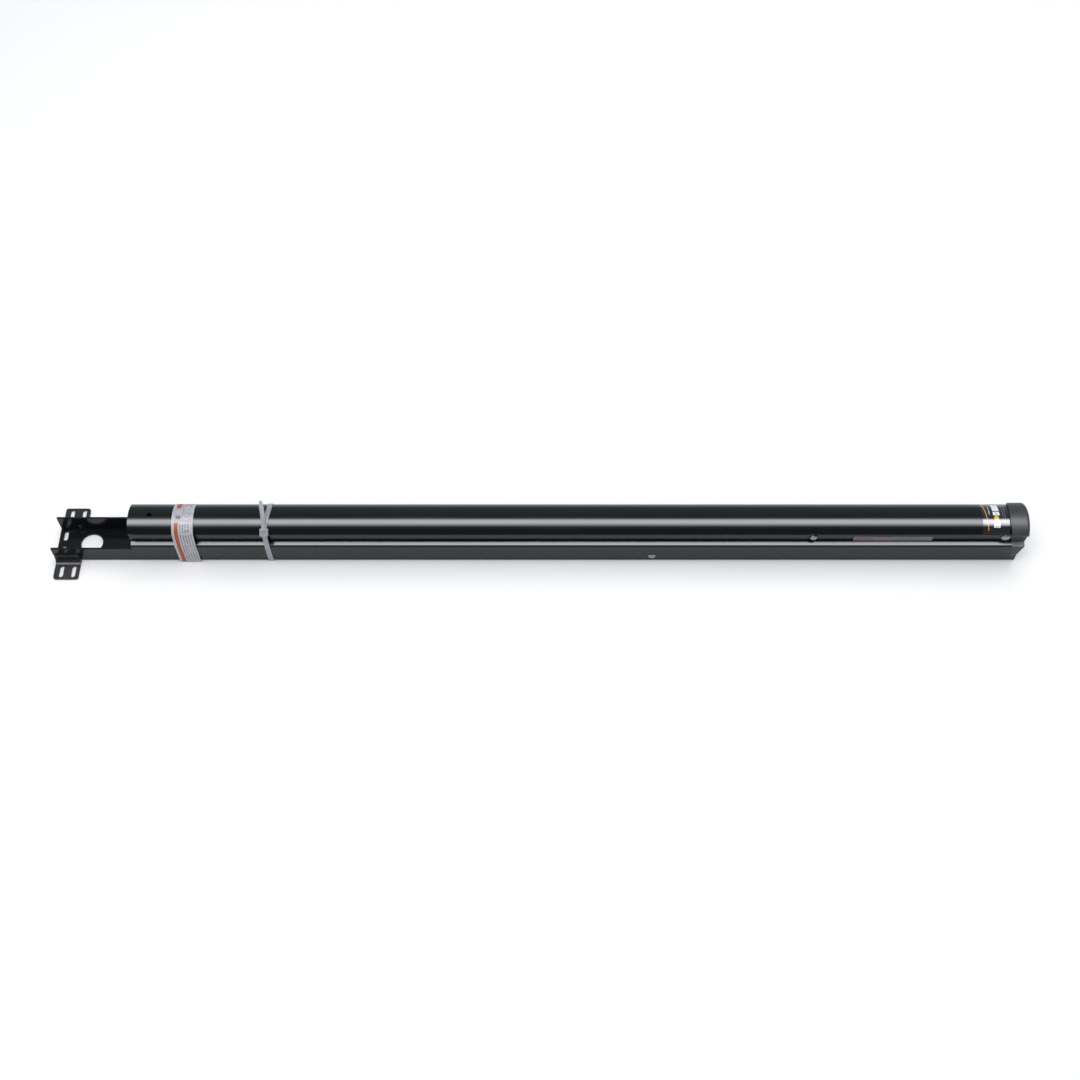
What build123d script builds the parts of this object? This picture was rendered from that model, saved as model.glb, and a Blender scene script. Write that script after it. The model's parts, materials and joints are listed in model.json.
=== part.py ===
"""Folding side arm of a wall-mounted awning, folded shut and tied for shipping.

Frame: X runs down the wall from the head end to the capped end, Y across the
arm (near side is -Y), Z away from the wall.  Z = 0 is the wall face.
"""
import os
from math import acos, cos, degrees, hypot, radians, sin, sqrt

from build123d import *

os.makedirs("parts", exist_ok=True)

# ---- wall channel --------------------------------------------------------
CHANNEL_START = -877.0
CHANNEL_END = 870.0
CHANNEL_WIDTH = 69.0
CHANNEL_HEIGHT = 38.7
CHANNEL_WEB = 4.0
CHANNEL_FLANGE = 3.5
CHANNEL_CORNER = 3.0
CHANNEL_HALF = CHANNEL_WIDTH / 2
CHANNEL_INNER = CHANNEL_HALF - CHANNEL_FLANGE

WEB_SLOT_LENGTH = 19.5
WEB_SLOT_WIDTH = 8.0
WEB_SLOT_Y = 15.55
WEB_SLOT_X_TOP = -866.0
WEB_SLOT_X_BOTTOM = 850.0
CABLE_HOLE_X = -816.0
CABLE_HOLE_DIAMETER = 40.0

# ---- top mounting brackets ----------------------------------------------
BRACKET_START = -875.0
BRACKET_LENGTH = 45.0
BRACKET_REACH = 75.5
BRACKET_HEIGHT = 19.5
BRACKET_PLATE = 4.0
BRACKET_BEND = 8.0
BRACKET_CORNER = 4.5
FOOT_SLOT_LENGTH = 23.5
FOOT_SLOT_WIDTH = 8.0
FOOT_SLOT_Y = 60.25
FOOT_SLOT_X = (-862.0, -840.0)

RIVET_X = (-863.0, -841.0)
RIVET_Z = 11.0
RIVET_SHANK = 4.7
RIVET_HOLE = 4.8
RIVET_HEAD = 9.0
RIVET_HEAD_HEIGHT = 1.8

# ---- linkage pivots (X, Z) -----------------------------------------------
BASE_PIVOT_Z = 16.0
ARM_PIVOT_Z = 70.0
UPPER_BASE = (-574.0, BASE_PIVOT_Z)
LOWER_BASE = (209.0, BASE_PIVOT_Z)
UPPER_TIP = (495.0, ARM_PIVOT_Z)
LOWER_TIP = (838.0, ARM_PIVOT_Z)
STRUT_BASE = (-54.0, BASE_PIVOT_Z)
STRUT_LUG_RADIUS = 48.0
STRUT_LUG_ANGLE = 45.0

# ---- outer arm extrusion -------------------------------------------------
ARM_START = -728.0
ARM_END = 865.0
SEAM_TOP_X = 842.0
SEAM_RAKE = 0.23
ARM_WALL = 2.5
CROWN_RADIUS = 42.0
CROWN_TOP = 100.0
CROWN_CENTRE = CROWN_TOP - CROWN_RADIUS
LIP_Y = 32.0
LIP_DEPTH = 2.2
RECESS_Y = 29.0
RECESS_TOP = 82.6
LEDGE_INNER_Z = 56.8
LEDGE_OUTER_Z = 54.0
SKIRT_Y = 38.0
SKIRT_BOTTOM = 19.0
ARM_SHOULDER_RADIUS = 4.0
SKIRT_FOOT_RADIUS = 2.0
LIP_EDGE = 0.7
FLANGE_EDGE = 0.8
HEAD_BOLT_X = -690.0
HEAD_BOLT_DIAMETER = 8.5
PIN_NOTCH_RADIUS = 9.5
PIN_NOTCH_Z = 18.0

# ---- links ---------------------------------------------------------------
LINK_DEPTH = 22.0
LINK_HALF_WIDTH = 24.0
LINK_PLATE = 3.0
UPPER_WEB_START = 400.0
LOWER_WEB_START = 34.0
LINK_WEB_STOP = 40.0
BASE_PIN = 10.0
RUNNING_FIT = 0.1
BUSH_OUTER = 13.0
BUSH_FLANGE = 17.0
BUSH_FLANGE_THICKNESS = 1.5
ARM_BOLT_HEAD = 17.0
ARM_BOLT_DOME = 4.0
ARM_NUT_SIZE = 17.0
ARM_NUT_HEIGHT = 6.0
ARM_BOLT_END = 37.0
STUB_HEAD = 13.0
STUB_DOME = 2.6
STUB_WASHER = 16.0
STUB_WASHER_THICKNESS = 0.8
STUB_BOSS = 14.0
STUB_GAP = 0.6
SPACER_OUTER = 20.0
SIDE_CLEARANCE = 0.4
PIN_DOME_RADIUS = 7.0
PIN_DOME_HEIGHT = 3.2
EAR_RADIUS = 10.0
EAR_FOOT = 75.0
PAD_X = -650.0
PAD_LENGTH = 40.0
PAD_WALL = 2.5
PAD_GRIP = 14.0
PAD_TOP_OUTER = 52.0
PAD_TOP_INNER = 53.9

# ---- gas strut -----------------------------------------------------------
STRUT_PIN = 8.0
TUBE_OUTER = 18.0
TUBE_BORE = 15.0
TUBE_START = 18.0
TUBE_FLOOR = 4.0
TUBE_LENGTH = 300.0
GLAND_LENGTH = 12.0
ROD_DIAMETER = 8.0
PISTON_LENGTH = 16.0
PISTON_START = 228.0
EYE_DIAMETER = 20.0
EYE_NECK = 10.0
ROD_EYE_OUTER = (27.0, 20.0)
ROD_EYE_SLOT = (17.0, 11.6)
EYE_WIDTH = 10.0
STRUT_SPACER_OUTER = 12.0

# ---- end cap, labels, tie ------------------------------------------------
CAP_START = 836.0
CAP_END = 877.0
CAP_LEDGE_X = 875.0
CAP_FOOT_X = 865.5
CAP_PROUD = 2.8
CAP_WALL = 3.0
CAP_EDGE = 6.0
CAP_LIFT = 1.5
CAP_CLEARANCE = 1.0
FILM = 0.4
STICKER_X = (793.0, 841.0)
STICKER_HALF = 31.0
DATA_LABEL_X = (567.0, 708.0)
DATA_LABEL_Z = (60.0, 73.0)
BAND_X = (-649.0, -611.0)
BAND_GAP = 0.1
BAND_HEM = 1.0
TIE_X = -484.0
TIE_WIDTH = 9.0
TIE_THICKNESS = 1.2
TIE_GAP = 0.35
TIE_GROOVE_WIDTH = 14.0
TIE_GROOVE_DEPTH = 1.8
TIE_HEAD_ANGLE = 43.6
TIE_HEAD_SIZE = (15.0, 14.0, 7.0)
TIE_TAIL_LENGTH = 56.0
TIE_TAIL_RISE = 36.0
TIE_TAIL_LEAN = 6.0

EPS = 0.01


def lug_point():
    """Strut lug on the upper link, as (X, Z)."""
    angle = radians(STRUT_LUG_ANGLE)
    return (
        UPPER_BASE[0] + STRUT_LUG_RADIUS * cos(angle),
        UPPER_BASE[1] + STRUT_LUG_RADIUS * sin(angle),
    )


def axis_plane(start, end):
    """Sketch plane in XZ whose x axis runs from start to end, both (X, Z)."""
    run = end[0] - start[0]
    rise = end[1] - start[1]
    length = hypot(run, rise)
    x_dir = (run / length, 0, rise / length)
    return Plane(origin=(start[0], 0, start[1]), x_dir=x_dir, z_dir=(0, -1, 0))


def side_plane(y):
    """XZ sketch plane at a given Y, extruding towards -Y."""
    return Plane(origin=(0, y, 0), x_dir=(1, 0, 0), z_dir=(0, -1, 0))


def cross_cut(x, z, diameter, reach=60.0):
    """Drill straight through along Y at (x, z); used inside a BuildPart."""
    with BuildSketch(side_plane(0)) as bore:
        with Locations((x, z)):
            Circle(diameter / 2)
    extrude(bore.sketch, amount=reach, both=True, mode=Mode.SUBTRACT)


def ring(x, z, y_from, y_to, outer, inner):
    """Plain ring or disc with its axis along Y, between two Y values."""
    with BuildPart() as piece:
        with BuildSketch(side_plane(y_to)):
            with Locations((x, z)):
                Circle(outer / 2)
                if inner:
                    Circle(inner / 2, mode=Mode.SUBTRACT)
        extrude(amount=y_to - y_from)
    return piece


def turned(x, z, side, profile):
    """Turned solid about a Y axis; profile lists (radius, distance from Y = 0)."""
    plane = Plane(origin=(x, 0, z), x_dir=(1, 0, 0), z_dir=(0, 0, side))
    with BuildPart() as piece:
        with BuildSketch(plane):
            with BuildLine():
                Polyline(*profile, close=True)
            make_face()
        revolve(axis=Axis((x, 0, z), (0, 1, 0)))
    return piece


def dome_points(radius, height, base):
    """Quarter-ellipse profile from the rim to the top of a domed head."""
    return [
        (radius * cos(radians(15 * step)), base + height * sin(radians(15 * step)))
        for step in range(7)
    ]


def arm_outline(bottom=SKIRT_BOTTOM):
    """Filled outer outline of the arm in YZ; used inside a BuildSketch."""
    with BuildLine() as outline:
        Polyline(
            (0, CROWN_TOP),
            (0, bottom),
            (SKIRT_Y, bottom),
            (SKIRT_Y, LEDGE_OUTER_Z),
            (RECESS_Y, LEDGE_INNER_Z),
            (RECESS_Y, RECESS_TOP),
            (LIP_Y - LIP_DEPTH / 2, RECESS_TOP - LIP_DEPTH / 2),
            (LIP_Y, CROWN_CENTRE + sqrt(CROWN_RADIUS**2 - LIP_Y**2)),
        )
        mid = LIP_Y / 2
        ThreePointArc(
            (LIP_Y, CROWN_CENTRE + sqrt(CROWN_RADIUS**2 - LIP_Y**2)),
            (mid, CROWN_CENTRE + sqrt(CROWN_RADIUS**2 - mid**2)),
            (0, CROWN_TOP),
        )
    make_face(outline.edges())
    mirror(about=Plane.YZ)


def arm_hollow(bottom=SKIRT_BOTTOM - 1):
    """Filled inner outline of the arm in YZ; used inside a BuildSketch."""
    slope = (LEDGE_INNER_Z - LEDGE_OUTER_Z) / (SKIRT_Y - RECESS_Y)
    drop = ARM_WALL * sqrt(1 + slope**2)
    inner_radius = CROWN_RADIUS - ARM_WALL
    wall_y = RECESS_Y - ARM_WALL
    skirt_y = SKIRT_Y - ARM_WALL
    shoulder = CROWN_CENTRE + sqrt(inner_radius**2 - wall_y**2)
    mid = wall_y / 2
    with BuildLine() as outline:
        Polyline(
            (0, CROWN_TOP - ARM_WALL),
            (0, bottom),
            (skirt_y, bottom),
            (skirt_y, LEDGE_OUTER_Z + slope * ARM_WALL - drop),
            (wall_y, LEDGE_INNER_Z + slope * ARM_WALL - drop),
            (wall_y, shoulder),
        )
        ThreePointArc(
            (wall_y, shoulder),
            (mid, CROWN_CENTRE + sqrt(inner_radius**2 - mid**2)),
            (0, CROWN_TOP - ARM_WALL),
        )
    make_face(outline.edges())
    mirror(about=Plane.YZ)


def wrap_outline(half_bottom, bottom, spread):
    """Outline of a band pulled tight round the arm, grown by spread."""
    lip_angle = degrees(acos(LIP_Y / CROWN_RADIUS))
    corners = (
        (SKIRT_Y, LEDGE_OUTER_Z),
        (SKIRT_Y, SKIRT_BOTTOM),
        (half_bottom, bottom),
    )
    with BuildLine() as guides:
        CenterArc(
            (0, CROWN_CENTRE), CROWN_RADIUS + spread, lip_angle, 180 - 2 * lip_angle
        )
        for y, z in corners:
            CenterArc((-y, z), spread, 0, 360)
            CenterArc((y, z), spread, 0, 360)
    make_hull(guides.edges())


# ---- wall channel --------------------------------------------------------
with BuildPart() as channel:
    with BuildSketch(Plane.YZ.offset(CHANNEL_START)):
        with BuildLine():
            Polyline(
                (-CHANNEL_HALF, 0),
                (CHANNEL_HALF, 0),
                (CHANNEL_HALF, CHANNEL_HEIGHT),
                (CHANNEL_INNER, CHANNEL_HEIGHT),
                (CHANNEL_INNER, CHANNEL_WEB),
                (-CHANNEL_INNER, CHANNEL_WEB),
                (-CHANNEL_INNER, CHANNEL_HEIGHT),
                (-CHANNEL_HALF, CHANNEL_HEIGHT),
                close=True,
            )
        channel_face = make_face()
        low = channel_face.vertices().filter_by_position(Axis.Y, -EPS, EPS)
        fillet(low, CHANNEL_CORNER)
        high = channel_face.vertices().filter_by_position(
            Axis.Y, CHANNEL_HEIGHT - EPS, CHANNEL_HEIGHT + EPS
        )
        fillet(high, FLANGE_EDGE)
    extrude(amount=CHANNEL_END - CHANNEL_START)
    with BuildSketch(Plane.XY):
        for slot_x in (WEB_SLOT_X_TOP, WEB_SLOT_X_BOTTOM):
            with Locations((slot_x, -WEB_SLOT_Y), (slot_x, WEB_SLOT_Y)):
                SlotOverall(WEB_SLOT_LENGTH, WEB_SLOT_WIDTH, rotation=90)
        with Locations((CABLE_HOLE_X, 0)):
            Circle(CABLE_HOLE_DIAMETER / 2)
    extrude(amount=CHANNEL_WEB, mode=Mode.SUBTRACT)
    for rivet_x in RIVET_X:
        cross_cut(rivet_x, RIVET_Z, RIVET_HOLE)
    for pivot in (UPPER_BASE, LOWER_BASE):
        cross_cut(*pivot, BASE_PIN)
    cross_cut(*STRUT_BASE, STRUT_PIN)
    with Locations((TIE_X, 0, TIE_GROOVE_DEPTH / 2)):
        Box(TIE_GROOVE_WIDTH, CHANNEL_WIDTH, TIE_GROOVE_DEPTH, mode=Mode.SUBTRACT)


def channel_strip(y_from, y_to):
    """The channel's full length between two Y values."""
    with BuildPart() as strip:
        add(channel.part)
        with Locations((0, (y_from + y_to) / 2, 0)):
            Box(3 * CHANNEL_END, y_to - y_from, 3 * CHANNEL_HEIGHT, mode=Mode.INTERSECT)
    return strip


# one extrusion, kept as a web and two flanges so that each solid is a plain bar
wall_channel = channel_strip(-CHANNEL_INNER, CHANNEL_INNER)
wall_channel.part.label = "wall_channel"
export_step(wall_channel.part, "parts/wall_channel.step")

channel_flange_near = channel_strip(-CHANNEL_HALF - 1, -CHANNEL_INNER)
channel_flange_near.part.label = "channel_flange_near"
export_step(channel_flange_near.part, "parts/channel_flange_near.step")

channel_flange_far = channel_strip(CHANNEL_INNER, CHANNEL_HALF + 1)
channel_flange_far.part.label = "channel_flange_far"
export_step(channel_flange_far.part, "parts/channel_flange_far.step")


# ---- top brackets and their rivets ---------------------------------------
def top_bracket(side):
    """Angle bracket riveted outside one channel flange."""
    inner = CHANNEL_HALF
    outer = CHANNEL_HALF + BRACKET_PLATE
    with BuildPart() as piece:
        with BuildSketch(Plane.YZ.offset(BRACKET_START)):
            with BuildLine():
                Polyline(
                    (side * inner, CHANNEL_CORNER),
                    (side * (inner + CHANNEL_CORNER), 0),
                    (side * BRACKET_REACH, 0),
                    (side * BRACKET_REACH, BRACKET_PLATE),
                    (side * (outer + BRACKET_BEND), BRACKET_PLATE),
                )
                RadiusArc(
                    (side * (outer + BRACKET_BEND), BRACKET_PLATE),
                    (side * outer, BRACKET_PLATE + BRACKET_BEND),
                    side * BRACKET_BEND,
                )
                Polyline(
                    (side * outer, BRACKET_PLATE + BRACKET_BEND),
                    (side * outer, BRACKET_HEIGHT),
                    (side * inner, BRACKET_HEIGHT),
                    (side * inner, CHANNEL_CORNER),
                )
            make_face()
        extrude(amount=BRACKET_LENGTH)
        tip_edges = piece.edges().filter_by(Axis.Z).filter_by_position(
            Axis.Y, side * BRACKET_REACH - EPS, side * BRACKET_REACH + EPS
        )
        fillet(tip_edges, BRACKET_CORNER)
        top_edges = piece.edges().filter_by(Axis.Y).filter_by_position(
            Axis.Z, BRACKET_HEIGHT - EPS, BRACKET_HEIGHT + EPS
        )
        fillet(top_edges, BRACKET_CORNER)
        with BuildSketch(Plane.XY):
            with Locations(*[(x, side * FOOT_SLOT_Y) for x in FOOT_SLOT_X]):
                SlotOverall(FOOT_SLOT_LENGTH, FOOT_SLOT_WIDTH, rotation=90)
        extrude(amount=BRACKET_PLATE + EPS, mode=Mode.SUBTRACT)
        for rivet_x in RIVET_X:
            cross_cut(rivet_x, RIVET_Z, RIVET_HOLE)
    return piece


def rivet(x, side):
    """Rivet with its dome inside the channel and its end flush outside."""
    face = CHANNEL_HALF + BRACKET_PLATE
    shank = RIVET_SHANK / 2
    dome = dome_points(RIVET_HEAD / 2, -RIVET_HEAD_HEIGHT, CHANNEL_INNER)
    return turned(x, RIVET_Z, side, [(0, face), (shank, face), (shank, CHANNEL_INNER)] + dome)


for side_name, side in (("near", -1), ("far", 1)):
    bracket = top_bracket(side)
    bracket.part.label = f"top_bracket_{side_name}"
    export_step(bracket.part, f"parts/top_bracket_{side_name}.step")
    for number, rivet_x in enumerate(RIVET_X, start=1):
        fixing = rivet(rivet_x, side)
        fixing.part.label = f"rivet_{side_name}_{number}"
        export_step(fixing.part, f"parts/rivet_{side_name}_{number}.step")


# ---- pins, spacers and rest pads on the channel --------------------------
def flush_pin(pivot, diameter):
    """Pin across the channel whose ends finish flush with the flanges."""
    return ring(*pivot, -CHANNEL_HALF, CHANNEL_HALF, diameter, 0)


def domed_pin(pivot):
    """Pin across the channel with a domed head outside each flange."""
    dome = dome_points(PIN_DOME_RADIUS, PIN_DOME_HEIGHT, CHANNEL_HALF)
    half = [(0, -EPS), (BASE_PIN / 2, -EPS), (BASE_PIN / 2, CHANNEL_HALF)] + dome
    x, z = pivot
    with BuildPart() as piece:
        for side in (-1, 1):
            plane = Plane(origin=(x, 0, z), x_dir=(1, 0, 0), z_dir=(0, 0, side))
            with BuildSketch(plane) as section:
                with BuildLine():
                    Polyline(*half, close=True)
                make_face()
            revolve(section.sketch, axis=Axis((x, 0, z), (0, 1, 0)))
    return piece


upper_base_pin = flush_pin(UPPER_BASE, BASE_PIN)
upper_base_pin.part.label = "upper_base_pin"
export_step(upper_base_pin.part, "parts/upper_base_pin.step")

lower_base_pin = domed_pin(LOWER_BASE)
lower_base_pin.part.label = "lower_base_pin"
export_step(lower_base_pin.part, "parts/lower_base_pin.step")

strut_base_pin = flush_pin(STRUT_BASE, STRUT_PIN)
strut_base_pin.part.label = "strut_base_pin"
export_step(strut_base_pin.part, "parts/strut_base_pin.step")


def side_ring(pivot, side, y_from, y_to, outer, inner):
    """Ring on one side of the arm, between two distances from Y = 0."""
    low, high = sorted((side * y_from, side * y_to))
    return ring(*pivot, low, high, outer, inner)


SPACERS = (
    ("upper_spacer", UPPER_BASE, LINK_HALF_WIDTH + SIDE_CLEARANCE, SPACER_OUTER, BASE_PIN),
    ("lower_spacer", LOWER_BASE, LINK_HALF_WIDTH + SIDE_CLEARANCE, SPACER_OUTER, BASE_PIN),
    ("strut_spacer", STRUT_BASE, EYE_WIDTH / 2 + SIDE_CLEARANCE, STRUT_SPACER_OUTER, STRUT_PIN),
)
for name, pivot, start, outer, bore in SPACERS:
    for side_name, side in (("near", -1), ("far", 1)):
        spacer = side_ring(pivot, side, start, CHANNEL_INNER, outer, bore)
        spacer.part.label = f"{name}_{side_name}"
        export_step(spacer.part, f"parts/{name}_{side_name}.step")


def rest_pad(side):
    """Rubber pad clipped over a flange edge; the closed arm rests on the pair."""
    with BuildPart() as piece:
        with BuildSketch(Plane.YZ.offset(PAD_X - PAD_LENGTH / 2)):
            with BuildLine():
                Polyline(
                    (side * (CHANNEL_INNER - PAD_WALL), CHANNEL_HEIGHT - PAD_GRIP),
                    (side * CHANNEL_INNER, CHANNEL_HEIGHT - PAD_GRIP),
                    (side * CHANNEL_INNER, CHANNEL_HEIGHT),
                    (side * CHANNEL_HALF, CHANNEL_HEIGHT),
                    (side * CHANNEL_HALF, PAD_TOP_OUTER),
                    (side * (CHANNEL_INNER - PAD_WALL), PAD_TOP_INNER),
                    close=True,
                )
            make_face()
        extrude(amount=PAD_LENGTH)
    return piece


for side_name, side in (("near", -1), ("far", 1)):
    pad = rest_pad(side)
    pad.part.label = f"rest_pad_{side_name}"
    export_step(pad.part, f"parts/rest_pad_{side_name}.step")


# ---- links ---------------------------------------------------------------
def link(start, end, web_from, web_to, lug=None):
    """Folded U-shaped link: two side plates joined by a web along part of it."""
    length = hypot(end[0] - start[0], end[1] - start[1])
    plane = axis_plane(start, end)
    radius = LINK_DEPTH / 2
    gap = LINK_HALF_WIDTH - LINK_PLATE
    with BuildPart() as piece:
        for side in (-1, 1):
            face = plane.offset(LINK_HALF_WIDTH if side < 0 else -gap)
            with BuildSketch(face) as plate:
                with Locations((length / 2, 0)):
                    SlotCenterToCenter(length, LINK_DEPTH)
                if lug:
                    ear = plane.to_local_coords(Vector(lug[0], 0, lug[1]))
                    with BuildSketch(mode=Mode.PRIVATE) as horn:
                        Circle(radius)
                        with Locations((ear.X, ear.Y)):
                            Circle(EAR_RADIUS)
                        with Locations((EAR_FOOT, 0)):
                            Circle(radius)
                        make_hull()
                    add(horn.sketch)
            extrude(plate.sketch, amount=-LINK_PLATE)
        with BuildSketch(plane) as web:
            with Locations(((web_from + web_to) / 2, radius - LINK_PLATE / 2)):
                Rectangle(web_to - web_from, LINK_PLATE)
        extrude(web.sketch, amount=gap + LINK_PLATE / 2, both=True)
        cross_cut(*start, BUSH_OUTER)
        cross_cut(*end, BUSH_OUTER)
        if lug:
            cross_cut(*lug, STRUT_PIN)
    return piece


def bush(pivot, side):
    """Flanged bush pressed into one link plate, flange on the inner face."""
    inner = LINK_HALF_WIDTH - LINK_PLATE
    bore = BASE_PIN / 2 + RUNNING_FIT / 2
    profile = (
        (bore, inner - BUSH_FLANGE_THICKNESS),
        (BUSH_FLANGE / 2, inner - BUSH_FLANGE_THICKNESS),
        (BUSH_FLANGE / 2, inner),
        (BUSH_OUTER / 2, inner),
        (BUSH_OUTER / 2, LINK_HALF_WIDTH),
        (bore, LINK_HALF_WIDTH),
    )
    return turned(*pivot, side, profile)


LUG = lug_point()
upper_length = hypot(UPPER_TIP[0] - UPPER_BASE[0], UPPER_TIP[1] - UPPER_BASE[1])
lower_length = hypot(LOWER_TIP[0] - LOWER_BASE[0], LOWER_TIP[1] - LOWER_BASE[1])

upper_link = link(UPPER_BASE, UPPER_TIP, UPPER_WEB_START, upper_length - LINK_WEB_STOP, LUG)
upper_link.part.label = "upper_link"
export_step(upper_link.part, "parts/upper_link.step")

lower_link = link(LOWER_BASE, LOWER_TIP, LOWER_WEB_START, lower_length - LINK_WEB_STOP)
lower_link.part.label = "lower_link"
export_step(lower_link.part, "parts/lower_link.step")

BUSHES = (
    ("upper_base_bush", UPPER_BASE),
    ("upper_tip_bush", UPPER_TIP),
    ("lower_base_bush", LOWER_BASE),
    ("lower_tip_bush", LOWER_TIP),
)
for name, pivot in BUSHES:
    for side_name, side in (("near", -1), ("far", 1)):
        sleeve = bush(pivot, side)
        sleeve.part.label = f"{name}_{side_name}"
        export_step(sleeve.part, f"parts/{name}_{side_name}.step")

strut_lug_pin = ring(*LUG, -LINK_HALF_WIDTH, LINK_HALF_WIDTH, STRUT_PIN, 0)
strut_lug_pin.part.label = "strut_lug_pin"
export_step(strut_lug_pin.part, "parts/strut_lug_pin.step")

for side_name, side in (("near", -1), ("far", 1)):
    lug_start = EYE_WIDTH / 2 + SIDE_CLEARANCE
    lug_stop = LINK_HALF_WIDTH - LINK_PLATE
    lug_spacer = side_ring(LUG, side, lug_start, lug_stop, STRUT_SPACER_OUTER, STRUT_PIN)
    lug_spacer.part.label = f"lug_spacer_{side_name}"
    export_step(lug_spacer.part, f"parts/lug_spacer_{side_name}.step")


# ---- gas strut -----------------------------------------------------------
strut_plane = axis_plane(STRUT_BASE, LUG)
strut_axis = Axis(strut_plane.origin, strut_plane.x_dir)
strut_length = hypot(LUG[0] - STRUT_BASE[0], LUG[1] - STRUT_BASE[1])
gland_start = TUBE_START + TUBE_LENGTH - GLAND_LENGTH


def along_strut(*profile):
    """Solid turned about the strut axis; profile is (distance, radius) points."""
    with BuildPart() as piece:
        with BuildSketch(strut_plane) as section:
            with BuildLine():
                Polyline(*profile, close=True)
            make_face()
        revolve(section.sketch, axis=strut_axis)
    return piece


strut_tube = along_strut(
    (TUBE_START, 0),
    (TUBE_START, TUBE_OUTER / 2),
    (TUBE_START + TUBE_LENGTH, TUBE_OUTER / 2),
    (TUBE_START + TUBE_LENGTH, TUBE_BORE / 2),
    (TUBE_START + TUBE_FLOOR, TUBE_BORE / 2),
    (TUBE_START + TUBE_FLOOR, 0),
)
strut_tube.part.label = "strut_tube"
export_step(strut_tube.part, "parts/strut_tube.step")

strut_gland = along_strut(
    (gland_start, (ROD_DIAMETER + RUNNING_FIT) / 2),
    (gland_start, TUBE_BORE / 2),
    (TUBE_START + TUBE_LENGTH, TUBE_BORE / 2),
    (TUBE_START + TUBE_LENGTH, TUBE_OUTER / 2 - 1),
    (TUBE_START + TUBE_LENGTH + 2, TUBE_OUTER / 2 - 2),
    (TUBE_START + TUBE_LENGTH + 2, (ROD_DIAMETER + RUNNING_FIT) / 2),
)
strut_gland.part.label = "strut_gland"
export_step(strut_gland.part, "parts/strut_gland.step")

strut_piston = along_strut(
    (PISTON_START, 0),
    (PISTON_START, TUBE_BORE / 2 - 0.4),
    (PISTON_START + PISTON_LENGTH, TUBE_BORE / 2 - 0.4),
    (PISTON_START + PISTON_LENGTH, 0),
)
strut_piston.part.label = "strut_piston"
export_step(strut_piston.part, "parts/strut_piston.step")

rod_stop = strut_length - ROD_EYE_OUTER[1] / 2 - 4
strut_rod = along_strut(
    (PISTON_START + PISTON_LENGTH, 0),
    (PISTON_START + PISTON_LENGTH, ROD_DIAMETER / 2),
    (rod_stop, ROD_DIAMETER / 2),
    (rod_stop, 0),
)
strut_rod.part.label = "strut_rod"
export_step(strut_rod.part, "parts/strut_rod.step")

with BuildPart() as strut_base_eye:
    with BuildSketch(strut_plane) as eye:
        Circle(EYE_DIAMETER / 2)
        with Locations((TUBE_START / 2, 0)):
            Rectangle(TUBE_START, EYE_NECK)
        Circle((STRUT_PIN + RUNNING_FIT) / 2, mode=Mode.SUBTRACT)
    extrude(eye.sketch, amount=EYE_WIDTH / 2, both=True)
strut_base_eye.part.label = "strut_base_eye"
export_step(strut_base_eye.part, "parts/strut_base_eye.step")

with BuildPart() as strut_rod_eye:
    with BuildSketch(strut_plane) as eye:
        with Locations((strut_length, 0)):
            SlotOverall(*ROD_EYE_OUTER, rotation=90)
        with Locations(((rod_stop + strut_length) / 2, 0)):
            Rectangle(strut_length - rod_stop, EYE_NECK)
        with Locations((strut_length, 0)):
            SlotOverall(*ROD_EYE_SLOT, rotation=90, mode=Mode.SUBTRACT)
    extrude(eye.sketch, amount=EYE_WIDTH / 2, both=True)
strut_rod_eye.part.label = "strut_rod_eye"
export_step(strut_rod_eye.part, "parts/strut_rod_eye.step")


# ---- outer arm -----------------------------------------------------------
def seam_x(z):
    """X of the raked joint between the arm and its end cap at height z."""
    return SEAM_TOP_X + SEAM_RAKE * (CROWN_TOP - z)


def seam_cut(far_x, low, high):
    """Cut away what lies between the raked joint and far_x, in a BuildPart."""
    with BuildSketch(side_plane(0)) as wedge:
        with BuildLine() as edge:
            Polyline(
                (seam_x(low), low),
                (far_x, low),
                (far_x, high),
                (seam_x(high), high),
                close=True,
            )
        make_face(edge.edges())
    extrude(wedge.sketch, amount=2 * SKIRT_Y, both=True, mode=Mode.SUBTRACT)


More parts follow.
